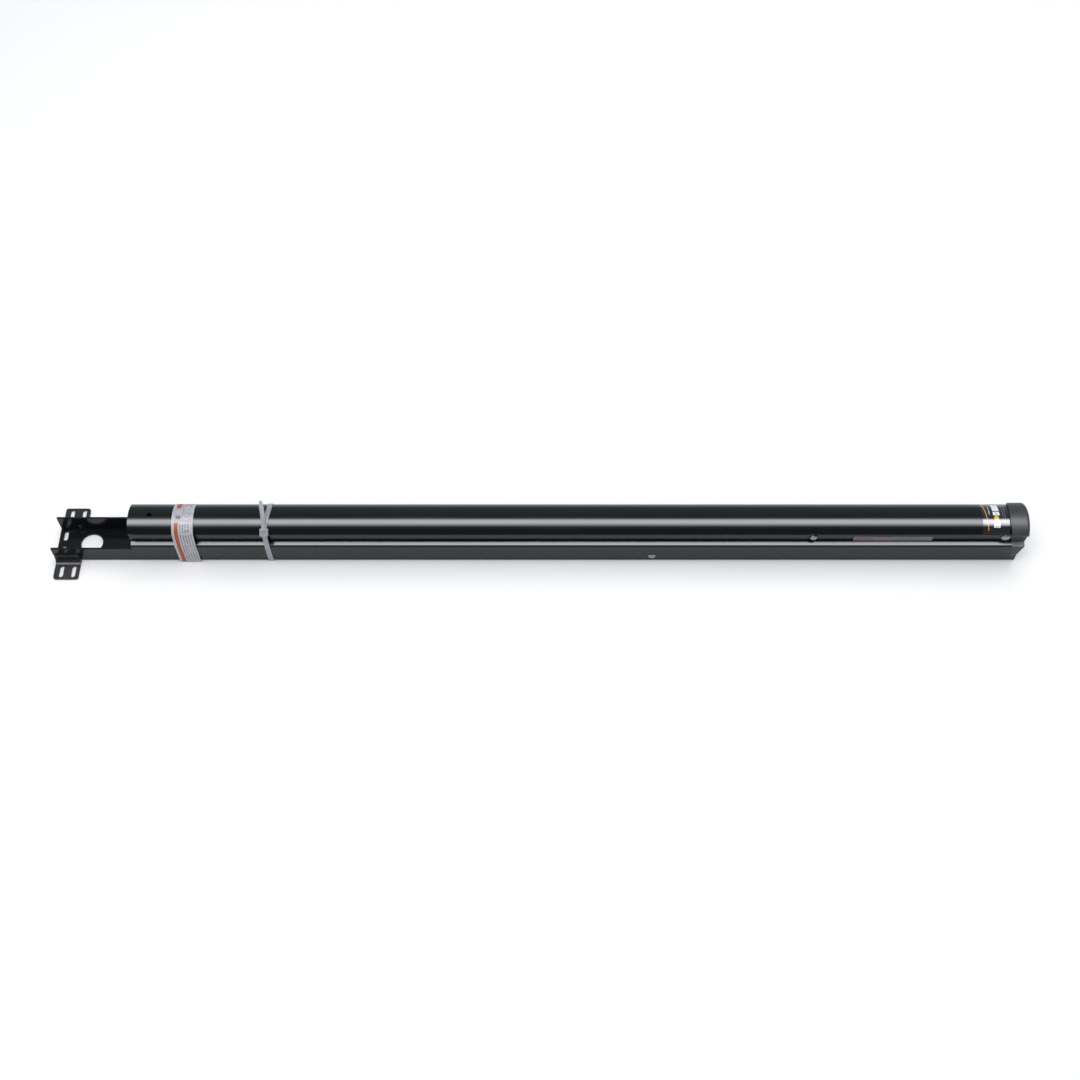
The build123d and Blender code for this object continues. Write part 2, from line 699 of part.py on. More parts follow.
with BuildPart() as outer_arm:
    with BuildSketch(Plane.YZ.offset(ARM_START)) as section:
        arm_outline()
        arm_edge = section.vertices().filter_by_position(
            Axis.Y, LEDGE_OUTER_Z - EPS, LEDGE_OUTER_Z + EPS
        )
        fillet(arm_edge, ARM_SHOULDER_RADIUS)
        lip_edge = section.vertices().filter_by_position(Axis.X, LIP_Y - EPS, LIP_Y + EPS)
        lip_edge += section.vertices().filter_by_position(Axis.X, -LIP_Y - EPS, EPS - LIP_Y)
        fillet(lip_edge, LIP_EDGE)
        foot_edge = section.vertices().filter_by_position(Axis.X, SKIRT_Y - EPS, SKIRT_Y + EPS)
        foot_edge += section.vertices().filter_by_position(Axis.X, -SKIRT_Y - EPS, EPS - SKIRT_Y)
        foot_edge = foot_edge.filter_by_position(Axis.Y, SKIRT_BOTTOM - EPS, SKIRT_BOTTOM + EPS)
        fillet(foot_edge, SKIRT_FOOT_RADIUS)
        with BuildSketch(mode=Mode.PRIVATE) as bore:
            arm_hollow()
        add(bore.sketch, mode=Mode.SUBTRACT)
    extrude(section.sketch, amount=ARM_END - ARM_START)
    seam_cut(ARM_END + 1, SKIRT_BOTTOM - 1, CROWN_TOP + 1)
    cross_cut(*LOWER_TIP, BASE_PIN)
    cross_cut(*UPPER_TIP, BASE_PIN)
    cross_cut(LOWER_BASE[0], PIN_NOTCH_Z, 2 * PIN_NOTCH_RADIUS)
    with BuildSketch(Plane.XY.offset(CROWN_TOP)) as bore:
        with Locations((HEAD_BOLT_X, 0)):
            Circle(HEAD_BOLT_DIAMETER / 2)
    extrude(bore.sketch, amount=-3 * ARM_WALL, mode=Mode.SUBTRACT)
outer_arm.part.label = "outer_arm"
export_step(outer_arm.part, "parts/outer_arm.step")


lower_arm_bolt = turned(
    *LOWER_TIP,
    -1,
    [(0, -ARM_BOLT_END), (BASE_PIN / 2, -ARM_BOLT_END), (BASE_PIN / 2, RECESS_Y)]
    + dome_points(ARM_BOLT_HEAD / 2, ARM_BOLT_DOME, RECESS_Y),
)
lower_arm_bolt.part.label = "lower_arm_bolt"
export_step(lower_arm_bolt.part, "parts/lower_arm_bolt.step")

with BuildPart() as lower_arm_nut:
    with BuildSketch(side_plane(RECESS_Y)) as nut:
        with Locations(LOWER_TIP):
            RegularPolygon(ARM_NUT_SIZE / 2, 6, major_radius=False)
            Circle(BASE_PIN / 2, mode=Mode.SUBTRACT)
    extrude(nut.sketch, amount=-ARM_NUT_HEIGHT)
lower_arm_nut.part.label = "lower_arm_nut"
export_step(lower_arm_nut.part, "parts/lower_arm_nut.step")

for side_name, side in (("near", -1), ("far", 1)):
    start = LINK_HALF_WIDTH + SIDE_CLEARANCE
    washer = side_ring(LOWER_TIP, side, start, RECESS_Y - ARM_WALL, SPACER_OUTER, BASE_PIN)
    washer.part.label = f"lower_arm_washer_{side_name}"
    export_step(washer.part, f"parts/lower_arm_washer_{side_name}.step")
    boss = STUB_BOSS / 2
    head = RECESS_Y + STUB_WASHER_THICKNESS
    stub = turned(
        *UPPER_TIP,
        side,
        [
            (0, LINK_HALF_WIDTH + STUB_GAP),
            (boss, LINK_HALF_WIDTH + STUB_GAP),
            (boss, RECESS_Y - ARM_WALL),
            (BASE_PIN / 2, RECESS_Y - ARM_WALL),
            (BASE_PIN / 2, RECESS_Y),
            (STUB_WASHER / 2, RECESS_Y),
            (STUB_WASHER / 2, head),
        ]
        + dome_points(STUB_HEAD / 2, STUB_DOME, head),
    )
    stub.part.label = f"upper_arm_stub_{side_name}"
    export_step(stub.part, f"parts/upper_arm_stub_{side_name}.step")


# ---- end cap -------------------------------------------------------------
def toe_cut(inset):
    """Cut the cap's end face back below the lip, or inset from it, in a BuildPart."""
    with BuildSketch(side_plane(0)) as toe:
        with BuildLine() as edge:
            Polyline(
                (CAP_END - inset, RECESS_TOP - CAP_PROUD),
                (CAP_LEDGE_X - inset, LEDGE_OUTER_Z),
                (CAP_FOOT_X - inset, SKIRT_BOTTOM - 1),
                (CAP_END + 1, SKIRT_BOTTOM - 1),
                (CAP_END + 1, RECESS_TOP - CAP_PROUD),
                close=True,
            )
        make_face(edge.edges())
    extrude(toe.sketch, amount=2 * SKIRT_Y, both=True, mode=Mode.SUBTRACT)


with BuildPart() as end_cap:
    with BuildSketch(Plane.YZ.offset(CAP_START)) as crown:
        arm_outline()
        offset(amount=CAP_PROUD, kind=Kind.INTERSECTION)
        with Locations((0, (RECESS_TOP - CAP_PROUD) / 2)):
            Rectangle(3 * SKIRT_Y, RECESS_TOP - CAP_PROUD, mode=Mode.SUBTRACT)
    extrude(crown.sketch, amount=CAP_END - CAP_START)
    with BuildSketch(Plane.YZ.offset(CAP_START)) as lower:
        arm_outline(bottom=SKIRT_BOTTOM + CAP_LIFT)
    extrude(lower.sketch, amount=CAP_END - CAP_START)
    end_edges = end_cap.faces().sort_by(Axis.X)[-1].edges().sort_by(Axis.Z)[-1:]
    fillet(end_edges, CAP_EDGE)
    toe_cut(0)
    with BuildPart(mode=Mode.PRIVATE) as cavity:
        with BuildSketch(Plane.YZ.offset(CAP_START)) as core:
            arm_hollow()
        extrude(core.sketch, amount=CAP_LEDGE_X - CAP_WALL - CAP_START)
        toe_cut(CAP_WALL)
    add(cavity.part, mode=Mode.SUBTRACT)
    with Locations((CAP_END, 0, 0)):
        Box(
            CAP_END - CAP_START,
            2 * (SKIRT_Y - ARM_WALL),
            2 * (CHANNEL_HEIGHT + CAP_CLEARANCE),
            mode=Mode.SUBTRACT,
        )
    seam_cut(CAP_START - 1, SKIRT_BOTTOM - 1, CROWN_TOP + 2 * CAP_PROUD)
end_cap.part.label = "end_cap"
export_step(end_cap.part, "parts/end_cap.step")


# ---- printed films -------------------------------------------------------
with BuildPart() as maker_sticker:
    with BuildSketch(Plane.YZ.offset(STICKER_X[0])) as film:
        with Locations((0, CROWN_CENTRE)):
            Circle(CROWN_RADIUS + FILM)
            Circle(CROWN_RADIUS, mode=Mode.SUBTRACT)
        with Locations((0, CROWN_TOP)):
            Rectangle(2 * STICKER_HALF, CROWN_RADIUS, mode=Mode.INTERSECT)
    extrude(film.sketch, amount=STICKER_X[1] - STICKER_X[0])
maker_sticker.part.label = "maker_sticker"
export_step(maker_sticker.part, "parts/maker_sticker.step")

with BuildPart() as data_label:
    with Locations(
        (sum(DATA_LABEL_X) / 2, -RECESS_Y - FILM / 2, sum(DATA_LABEL_Z) / 2)
    ):
        Box(DATA_LABEL_X[1] - DATA_LABEL_X[0], FILM, DATA_LABEL_Z[1] - DATA_LABEL_Z[0])
data_label.part.label = "data_label"
export_step(data_label.part, "parts/data_label.step")


def band_ring(x, width, half_bottom, bottom, gap, thickness):
    """Closed band round the folded arm, added to the current BuildPart."""
    with BuildSketch(Plane.YZ.offset(x - width / 2)) as band:
        wrap_outline(half_bottom, bottom, gap + thickness)
        with BuildSketch(mode=Mode.PRIVATE) as inside:
            wrap_outline(half_bottom, bottom, gap)
        add(inside.sketch, mode=Mode.SUBTRACT)
    extrude(band.sketch, amount=width)


with BuildPart() as caution_band:
    band_ring(sum(BAND_X) / 2, BAND_X[1] - BAND_X[0], SKIRT_Y, -BAND_HEM, BAND_GAP, FILM)
    with Locations((sum(BAND_X) / 2, 0, -BAND_HEM)):
        Box(2 * (BAND_X[1] - BAND_X[0]), 3 * SKIRT_Y, 4 * BAND_HEM, mode=Mode.SUBTRACT)
caution_band.part.label = "caution_band"
export_step(caution_band.part, "parts/caution_band.step")


# ---- cable tie -----------------------------------------------------------
tie_angle = radians(TIE_HEAD_ANGLE)
tie_reach = CROWN_RADIUS + TIE_GAP + TIE_THICKNESS + TIE_HEAD_SIZE[2] / 2 - 0.5
tie_head = Vector(TIE_X, -tie_reach * sin(tie_angle), CROWN_CENTRE + tie_reach * cos(tie_angle))
rise = radians(TIE_TAIL_RISE)
lean = radians(TIE_TAIL_LEAN)
tail_dir = Vector(-sin(lean), cos(lean) * cos(rise), cos(lean) * sin(rise))
tail_plane = Plane(origin=tie_head, x_dir=tail_dir, z_dir=(0, -sin(rise), cos(rise)))

with BuildPart() as cable_tie:
    band_ring(TIE_X, TIE_WIDTH, CHANNEL_HALF, TIE_GROOVE_DEPTH, TIE_GAP, TIE_THICKNESS)
    with Locations(Location(tie_head, (TIE_HEAD_ANGLE, 0, 0))):
        Box(*TIE_HEAD_SIZE)
    with BuildSketch(tail_plane) as tail:
        with Locations((TIE_TAIL_LENGTH / 2, 0)):
            Rectangle(TIE_TAIL_LENGTH, TIE_WIDTH - 1)
    extrude(tail.sketch, amount=TIE_THICKNESS)
cable_tie.part.label = "cable_tie"
export_step(cable_tie.part, "parts/cable_tie.step")
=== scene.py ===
"""Looks of the folding awning arm: materials, cable tie, studio and camera.

Units are metres in the shared frame: X down the wall from the head end to the
capped end, Y across the arm (near side is -Y), Z out of the wall.
"""

import json
from math import atan2, cos, hypot, radians, sin

import bmesh
import bpy
from mathutils import Matrix, Vector
from mathutils.geometry import convex_hull_2d


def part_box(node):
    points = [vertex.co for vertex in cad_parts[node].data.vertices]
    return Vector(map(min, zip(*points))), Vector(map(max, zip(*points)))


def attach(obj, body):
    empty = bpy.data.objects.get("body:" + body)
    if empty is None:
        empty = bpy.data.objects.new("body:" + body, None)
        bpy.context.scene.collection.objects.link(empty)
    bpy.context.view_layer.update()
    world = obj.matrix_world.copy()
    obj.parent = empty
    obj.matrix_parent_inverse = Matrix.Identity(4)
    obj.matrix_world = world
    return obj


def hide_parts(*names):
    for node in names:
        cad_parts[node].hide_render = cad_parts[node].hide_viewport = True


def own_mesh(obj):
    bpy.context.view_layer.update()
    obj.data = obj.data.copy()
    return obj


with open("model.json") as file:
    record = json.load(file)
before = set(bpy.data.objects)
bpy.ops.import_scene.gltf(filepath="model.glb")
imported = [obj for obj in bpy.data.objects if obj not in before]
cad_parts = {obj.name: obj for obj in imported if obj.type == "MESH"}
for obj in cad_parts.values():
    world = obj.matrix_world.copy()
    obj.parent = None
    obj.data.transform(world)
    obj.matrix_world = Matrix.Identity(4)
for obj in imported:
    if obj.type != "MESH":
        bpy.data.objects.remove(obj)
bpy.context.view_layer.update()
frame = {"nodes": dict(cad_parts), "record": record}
nodes = frame["nodes"]

MM = 0.001

# ---- places read from the frame ------------------------------------------
arm_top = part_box("outer_arm")[1].z
band_low, band_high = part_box("caution_band")
film_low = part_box("maker_sticker")[0]
data_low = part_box("data_label")[0]
tie_low, tie_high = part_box("cable_tie")
stub_low, stub_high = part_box("upper_arm_stub_near")

# ---- the arm's crown, as the CAD has it ----------------------------------
CROWN_RADIUS = 42 * MM
CROWN_CENTRE_Z = arm_top - CROWN_RADIUS
LIP_Y = 32 * MM
LIP_ANGLE = atan2(LIP_Y, (CROWN_RADIUS**2 - LIP_Y**2) ** 0.5)
LIP_Z = CROWN_CENTRE_Z + CROWN_RADIUS * cos(LIP_ANGLE)


# ---- node trees ----------------------------------------------------------
class Graph:
    """One material's node tree, with short calls for the nodes it uses."""

    def __init__(self, name):
        self.material = bpy.data.materials.new(name)
        self.material.use_nodes = True
        self.tree = self.material.node_tree
        self.shader = self.tree.nodes["Principled BSDF"]
        self.place = self.node("ShaderNodeTexCoord").outputs["Object"]
        self.split = self.node("ShaderNodeSeparateXYZ")
        self.join(self.place, self.split.inputs[0])
        self.x, self.y, self.z = self.split.outputs

    def node(self, kind, **settings):
        """Add a node and set its properties."""
        made = self.tree.nodes.new(kind)
        for key, value in settings.items():
            setattr(made, key, value)
        return made

    def join(self, value, socket):
        """Link a socket into another, or set a constant on it."""
        if isinstance(value, bpy.types.NodeSocket):
            self.tree.links.new(value, socket)
        else:
            socket.default_value = value

    def math(self, operation, a, b=0.0, c=0.0):
        """One Math node on up to three sockets or constants."""
        made = self.node("ShaderNodeMath", operation=operation)
        for value, socket in zip((a, b, c), made.inputs):
            self.join(value, socket)
        return made.outputs[0]

    def noise(self, size, stretch=(1, 1, 1), detail=3.0, rough=0.55, shift=0.0):
        """Noise with features of about this size, in metres, along each axis."""
        scaled = self.node("ShaderNodeVectorMath", operation="MULTIPLY_ADD")
        self.join(self.place, scaled.inputs[0])
        scaled.inputs[1].default_value = [1 / (size * s) for s in stretch]
        scaled.inputs[2].default_value = (shift, 2 * shift, 3 * shift)
        made = self.node("ShaderNodeTexNoise")
        self.join(scaled.outputs[0], made.inputs["Vector"])
        made.inputs["Scale"].default_value = 1.0
        made.inputs["Detail"].default_value = detail
        made.inputs["Roughness"].default_value = rough
        return made.outputs["Fac"]

    def spots(self, size):
        """Distance to the nearest cell centre, in cells of this size."""
        made = self.node("ShaderNodeTexVoronoi")
        self.join(self.place, made.inputs["Vector"])
        made.inputs["Scale"].default_value = 1 / size
        return made.outputs["Distance"]

    def span(self, value, low, high, to_low=0.0, to_high=1.0, smooth=False):
        """Carry low..high over to to_low..to_high, clamped at both ends."""
        made = self.node("ShaderNodeMapRange")
        if smooth:
            made.interpolation_type = "SMOOTHSTEP"
        for given, socket in zip((value, low, high, to_low, to_high), made.inputs):
            self.join(given, socket)
        return made.outputs[0]

    def mix(self, factor, a, b):
        """Blend from colour a to colour b by factor."""
        made = self.node("ShaderNodeMix", data_type="RGBA")
        self.join(factor, made.inputs[0])
        for colour, socket in ((a, made.inputs[6]), (b, made.inputs[7])):
            if not isinstance(colour, bpy.types.NodeSocket):
                colour = (*colour, 1.0)
            self.join(colour, socket)
        return made.outputs[2]

    def bump(self, height, depth, under=None):
        """Normal of a height this deep in metres, laid over another normal."""
        made = self.node("ShaderNodeBump")
        made.inputs["Distance"].default_value = depth
        self.join(height, made.inputs["Height"])
        if under is not None:
            self.join(under, made.inputs["Normal"])
        return made.outputs[0]

    def within(self, value, low, high):
        """1 where value lies between low and high, else 0."""
        middle = (low + high) / 2
        away = self.math("ABSOLUTE", self.math("SUBTRACT", value, middle))
        return self.math("LESS_THAN", away, (high - low) / 2)

    def block(self, u, v, u_span, v_span):
        """1 inside a rectangle of (u, v), else 0."""
        return self.math("MULTIPLY", self.within(u, *u_span), self.within(v, *v_span))

    def radius(self, a, b):
        """Length of the vector (a, b)."""
        squares = [self.math("POWER", value, 2.0) for value in (a, b)]
        return self.math("SQRT", self.math("ADD", *squares))

    def any_of(self, *masks):
        """1 where any mask is 1."""
        total = masks[0]
        for mask in masks[1:]:
            total = self.math("MAXIMUM", total, mask)
        return total

    def marks(self, u, v, pitch, share, run, u_span, v_span):
        """Greeked rows: lines every pitch along u, broken into runs along v."""
        apart = 7.3  # step in the noise from row to row, so that no two rows match
        gap_level = 0.42  # noise below this leaves a gap in the row
        row = self.math("DIVIDE", u, pitch)
        line = self.math("LESS_THAN", self.math("FRACT", row), share)
        along = self.node("ShaderNodeTexNoise", noise_dimensions="2D")
        where = self.node("ShaderNodeCombineXYZ")
        self.join(self.math("MULTIPLY", self.math("FLOOR", row), apart), where.inputs[0])
        self.join(self.math("DIVIDE", v, run), where.inputs[1])
        self.join(where.outputs[0], along.inputs["Vector"])
        along.inputs["Scale"].default_value = 1.0
        along.inputs["Detail"].default_value = 1.0
        broken = self.math("GREATER_THAN", along.outputs["Fac"], gap_level)
        inked = self.math("MULTIPLY", line, broken)
        return self.math("MULTIPLY", inked, self.block(u, v, u_span, v_span))

    def finish(self, colour, rough, normal=None, **constants):
        """Link colour, roughness and normal; set the rest on the shader."""
        self.join(colour, self.shader.inputs["Base Color"])
        self.join(rough, self.shader.inputs["Roughness"])
        if normal is not None:
            self.join(normal, self.shader.inputs["Normal"])
        for key, value in constants.items():
            socket = key.replace("_", " ").title().replace("Ior", "IOR")
            self.shader.inputs[socket].default_value = value
        return self.material


def anodised():
    """Black anodised extrusion: die lines along X, fine grain, faint scuffs."""
    g = Graph("look_black_anodised")
    die_lines = g.noise(0.9 * MM, (900, 1, 1), detail=4)
    broad = g.noise(60 * MM, (4, 1, 1), detail=2, shift=3.1)
    grain = g.noise(0.25 * MM, detail=2, shift=7.7)
    rubbed = g.span(g.noise(9 * MM, (9, 0.35, 0.35), detail=5, shift=1.7), 0.66, 0.8)
    tone = g.mix(broad, (0.0016, 0.0024, 0.0026), (0.0030, 0.0038, 0.0042))
    tone = g.mix(g.span(die_lines, 0.35, 0.75, 0.0, 0.3), tone, (0.008, 0.009, 0.010))
    tone = g.mix(g.math("MULTIPLY", rubbed, 0.3), tone, (0.022, 0.023, 0.025))
    rough = g.span(broad, 0.3, 0.7, 0.15, 0.19)
    rough = g.math("ADD", rough, g.span(die_lines, 0.3, 0.7, -0.015, 0.02))
    rough = g.math("ADD", rough, g.math("MULTIPLY", rubbed, 0.08))
    normal = g.bump(die_lines, 0.006 * MM)
    normal = g.bump(grain, 0.002 * MM, normal)
    return g.finish(tone, rough, normal)


def powder_coat(name, dark, light, rough_span, peel=0.012):
    """Satin powder coat: orange peel, pinholes and rubbed speckle."""
    g = Graph(name)
    orange_peel = g.noise(1.1 * MM, detail=2)
    speckle = g.noise(0.3 * MM, detail=2, shift=4.4)
    broad = g.noise(35 * MM, detail=3, shift=2.2)
    worn = g.span(g.noise(4 * MM, (2.5, 1, 1), detail=6, shift=6.1), 0.66, 0.76)
    tone = g.mix(g.span(speckle, 0.35, 0.7), dark, light)
    tone = g.mix(g.math("MULTIPLY", worn, 0.3), tone, (0.09, 0.09, 0.095))
    rough = g.span(broad, 0.3, 0.7, *rough_span)
    normal = g.bump(orange_peel, peel * MM)
    normal = g.bump(speckle, 0.003 * MM, normal)
    return g.finish(tone, rough, normal)


def metal(name, dark, light, rough_span, brush=(1, 1, 1), brush_size=0.5, depth=0.004):
    """Bare or plated metal with brushed grain and uneven lustre."""
    g = Graph(name)
    grain = g.noise(brush_size * MM, brush, detail=4)
    cloud = g.noise(6 * MM, detail=4, shift=5.3)
    tone = g.mix(g.span(cloud, 0.3, 0.7), dark, light)
    rough = g.span(grain, 0.25, 0.75, *rough_span)
    normal = g.bump(grain, depth * MM)
    return g.finish(tone, rough, normal, metallic=1.0)


WASHER_RING = (6.6 * MM, 8.4 * MM)


def plated():
    """Zinc plate with a fine grain; the stub bolts' washers are black."""
    g = Graph("look_plated_steel")
    grain = g.noise(0.5 * MM, detail=4)
    cloud = g.noise(6 * MM, detail=4, shift=5.3)
    off_x = g.math("SUBTRACT", g.x, (stub_low.x + stub_high.x) / 2)
    off_z = g.math("SUBTRACT", g.z, (stub_low.z + stub_high.z) / 2)
    washer = g.within(g.radius(off_x, off_z), *WASHER_RING)
    tone = g.mix(g.span(cloud, 0.3, 0.7), (0.30, 0.30, 0.31), (0.46, 0.46, 0.46))
    tone = g.mix(washer, tone, (0.020, 0.020, 0.021))
    rough = g.span(grain, 0.25, 0.75, 0.26, 0.40)
    return g.finish(tone, rough, g.bump(grain, 0.004 * MM), metallic=1.0)


def plastic(name, dark, light, rough_span, texture=0.35, depth=0.012, **constants):
    """Moulded plastic or rubber with an eroded-tool texture."""
    g = Graph(name)
    eroded = g.noise(texture * MM, detail=3, rough=0.6)
    flow = g.noise(22 * MM, detail=3, shift=8.3)
    tone = g.mix(g.span(flow, 0.3, 0.7), dark, light)
    rough = g.span(eroded, 0.3, 0.7, *rough_span)
    normal = g.bump(eroded, depth * MM)
    return g.finish(tone, rough, normal, **constants)


def bronze():
    """Sintered bronze: open pores and oil-darkened patches."""
    g = Graph("look_bronze")
    pores = g.span(g.spots(0.5 * MM), 0.05, 0.3)
    oil = g.noise(4 * MM, detail=3)
    tone = g.mix(g.span(oil, 0.35, 0.7), (0.36, 0.24, 0.11), (0.55, 0.40, 0.20))
    tone = g.mix(pores, (0.12, 0.08, 0.04), tone)
    rough = g.span(oil, 0.3, 0.7, 0.28, 0.45)
    return g.finish(tone, rough, g.bump(pores, 0.01 * MM), metallic=1.0)


def round_coordinate(g):
    """Distance round the arm from the crown's top, positive towards the near side."""
    near = g.math("MULTIPLY", g.y, -1.0)
    above = g.math("SUBTRACT", g.z, CROWN_CENTRE_Z)
    arc = g.math("MULTIPLY", g.math("ARCTAN2", near, above), CROWN_RADIUS)
    down = g.math("SUBTRACT", CROWN_RADIUS * LIP_ANGLE + LIP_Z, g.z)
    down = g.math("MULTIPLY", down, g.math("SIGN", near))
    hanging = g.math("LESS_THAN", g.z, LIP_Z)
    change = g.math("MULTIPLY", hanging, g.math("SUBTRACT", down, arc))
    return g.math("ADD", arc, change)


def caution_paper():
    """White band with plain orange blocks, a boxed shape and greeked rows.

    u is a share of the band's width, s is millimetres round the arm.
    """
    g = Graph("look_band_paper")
    across = g.math("SUBTRACT", g.x, band_low.x)
    width = band_high.x - band_low.x
    u = g.math("DIVIDE", across, width)
    s = g.math("DIVIDE", round_coordinate(g), MM)
    fibre = g.noise(0.4 * MM, detail=4)
    cloud = g.noise(14 * MM, detail=3, shift=1.2)
    paper = g.mix(g.span(cloud, 0.3, 0.7), (0.335, 0.33, 0.365), (0.41, 0.40, 0.44))
    header = g.block(u, s, (0.14, 0.365), (-45.0, -15.5))
    bar = g.block(u, s, (0.12, 0.30), (15.5, 118.0))
    header_rows = g.marks(u, s, 0.13, 0.5, 5.0, (0.42, 0.90), (-45.0, -18.0))
    body_rows = g.marks(u, s, 0.125, 0.42, 3.2, (0.39, 0.87), (18.0, 34.0))
    lower_rows = g.marks(u, s, 0.125, 0.34, 2.2, (0.34, 0.93), (36.0, 116.0))
    frame_outer = g.block(u, s, (0.12, 0.83), (-12.5, 12.5))
    frame_inner = g.block(u, s, (0.135, 0.815), (-11.9, 11.9))
    outline = g.math("SUBTRACT", frame_outer, frame_inner)
    divider = g.block(u, s, (0.50, 0.515), (-12.5, 12.5))
    lobe = g.block(u, s, (0.18, 0.42), (2.0, 9.0))
    off_u = g.math("MULTIPLY", g.math("SUBTRACT", u, 0.665), width / MM)
    hoop = g.within(g.radius(off_u, s), 3.6, 4.4)
    ink = g.any_of(header_rows, body_rows, lower_rows, outline, divider, lobe, hoop)
    orange = g.any_of(header, bar)
    tone = g.mix(orange, paper, (0.29, 0.055, 0.014))
    tone = g.mix(g.math("MULTIPLY", ink, 0.72), tone, (0.03, 0.03, 0.04))
    normal = g.bump(fibre, 0.01 * MM)
    normal = g.bump(cloud, 0.15 * MM, normal)
    return g.finish(tone, g.span(fibre, 0.3, 0.7, 0.38, 0.5), normal)


def maker_film():
    """Gloss black film with a slanted orange rule and plain white blocks.

    u runs along the arm and v across it, both in millimetres.
    """
    g = Graph("look_sticker_film")
    u = g.math("DIVIDE", g.math("SUBTRACT", g.x, film_low.x), MM)
    v = g.math("DIVIDE", g.y, MM)
    rule_u = g.math("ADD", u, g.math("MULTIPLY", g.math("SUBTRACT", v, 28.0), 0.115))
    rule = g.block(rule_u, v, (3.0, 4.6), (-27.0, 28.5))
    small_rows = g.marks(u, v, 3.0, 0.6, 2.4, (12.0, 15.0), (-2.0, 20.0))
    words = [g.block(u, v, (19.5, 31.0), s) for s in ((8.5, 26.0), (-1.5, 6.5), (-23.0, -12.0))]
    notches = g.marks(v, u, 3.6, 0.24, 5.0, (-26.0, 28.0), (22.5, 28.0))
    white = g.math("SUBTRACT", g.any_of(*words), g.math("MULTIPLY", notches, 0.9))
    off_u = g.math("SUBTRACT", u, 25.0)
    off_v = g.math("SUBTRACT", v, -6.8)
    sun = g.math("LESS_THAN", g.radius(off_u, off_v), 4.4)
    grey_rows = g.marks(u, v, 4.0, 0.3, 2.6, (34.0, 44.0), (-14.0, 25.0))
    haze = g.noise(12 * MM, detail=3)
    tone = g.mix(haze, (0.010, 0.010, 0.014), (0.018, 0.018, 0.023))
    tone = g.mix(g.math("MULTIPLY", grey_rows, 0.35), tone, (0.35, 0.35, 0.38))
    tone = g.mix(g.math("MAXIMUM", white, 0.0), tone, (0.72, 0.72, 0.74))
    tone = g.mix(g.math("MULTIPLY", small_rows, 0.8), tone, (0.60, 0.60, 0.62))
    tone = g.mix(rule, tone, (0.60, 0.25, 0.03))
    tone = g.mix(sun, tone, (0.66, 0.46, 0.02))
    ripple = g.noise(7 * MM, (1, 3, 3), detail=2, shift=2.5)
    rough = g.span(haze, 0.3, 0.7, 0.05, 0.08)
    return g.finish(tone, rough, g.bump(ripple, 0.01 * MM), coat_weight=1.0, coat_roughness=0.03)


def data_film():
    """Silver-grey film with greeked rows and two small red blocks; its grey is set dark as
    painted shade from the lip above.

    u runs along the arm and v up its flank, both in millimetres.
    """
    g = Graph("look_data_film")
    u = g.math("DIVIDE", g.math("SUBTRACT", g.x, data_low.x), MM)
    v = g.math("DIVIDE", g.math("SUBTRACT", g.z, data_low.z), MM)
    fleck = g.noise(0.3 * MM, detail=3)
    cloud = g.noise(20 * MM, (2, 1, 1), detail=2, shift=4.0)
    # painted shade: the film's silver-grey is toned down for the lip's shadow over the label
    tone = g.mix(g.span(cloud, 0.3, 0.7), (0.10, 0.097, 0.10), (0.16, 0.157, 0.163))
    left_rows = g.marks(v, u, 2.4, 0.5, 3.0, (1.5, 11.5), (3.0, 36.0))
    right_rows = g.marks(v, u, 3.1, 0.3, 4.0, (2.0, 11.0), (58.0, 136.0))
    red = g.any_of(
        g.block(u, v, (4.0, 15.0), (7.5, 11.5)),
        g.block(u, v, (40.0, 54.0), (7.0, 11.5)),
    )
    tone = g.mix(g.math("MULTIPLY", left_rows, 0.7), tone, (0.05, 0.04, 0.04))
    tone = g.mix(g.math("MULTIPLY", right_rows, 0.45), tone, (0.09, 0.085, 0.085))
    tone = g.mix(red, tone, (0.34, 0.045, 0.03))
    rough = g.span(fleck, 0.3, 0.7, 0.3, 0.42)
    return g.finish(tone, rough, g.bump(fleck, 0.006 * MM))


def tie_nylon():
    """Natural nylon strap: milky, slightly translucent, faint flow lines."""
    g = Graph("look_tie_nylon")
    flow = g.noise(5 * MM, (1, 3, 3), detail=4)
    pits = g.noise(0.4 * MM, detail=2, shift=2.0)
    tone = g.mix(g.span(flow, 0.3, 0.7), (0.28, 0.28, 0.31), (0.36, 0.36, 0.40))
    rough = g.span(pits, 0.3, 0.7, 0.30, 0.44)
    normal = g.bump(pits, 0.008 * MM)
    return g.finish(
        tone, rough, normal, subsurface_weight=0.35, subsurface_scale=0.002,
        transmission_weight=0.12,
    )


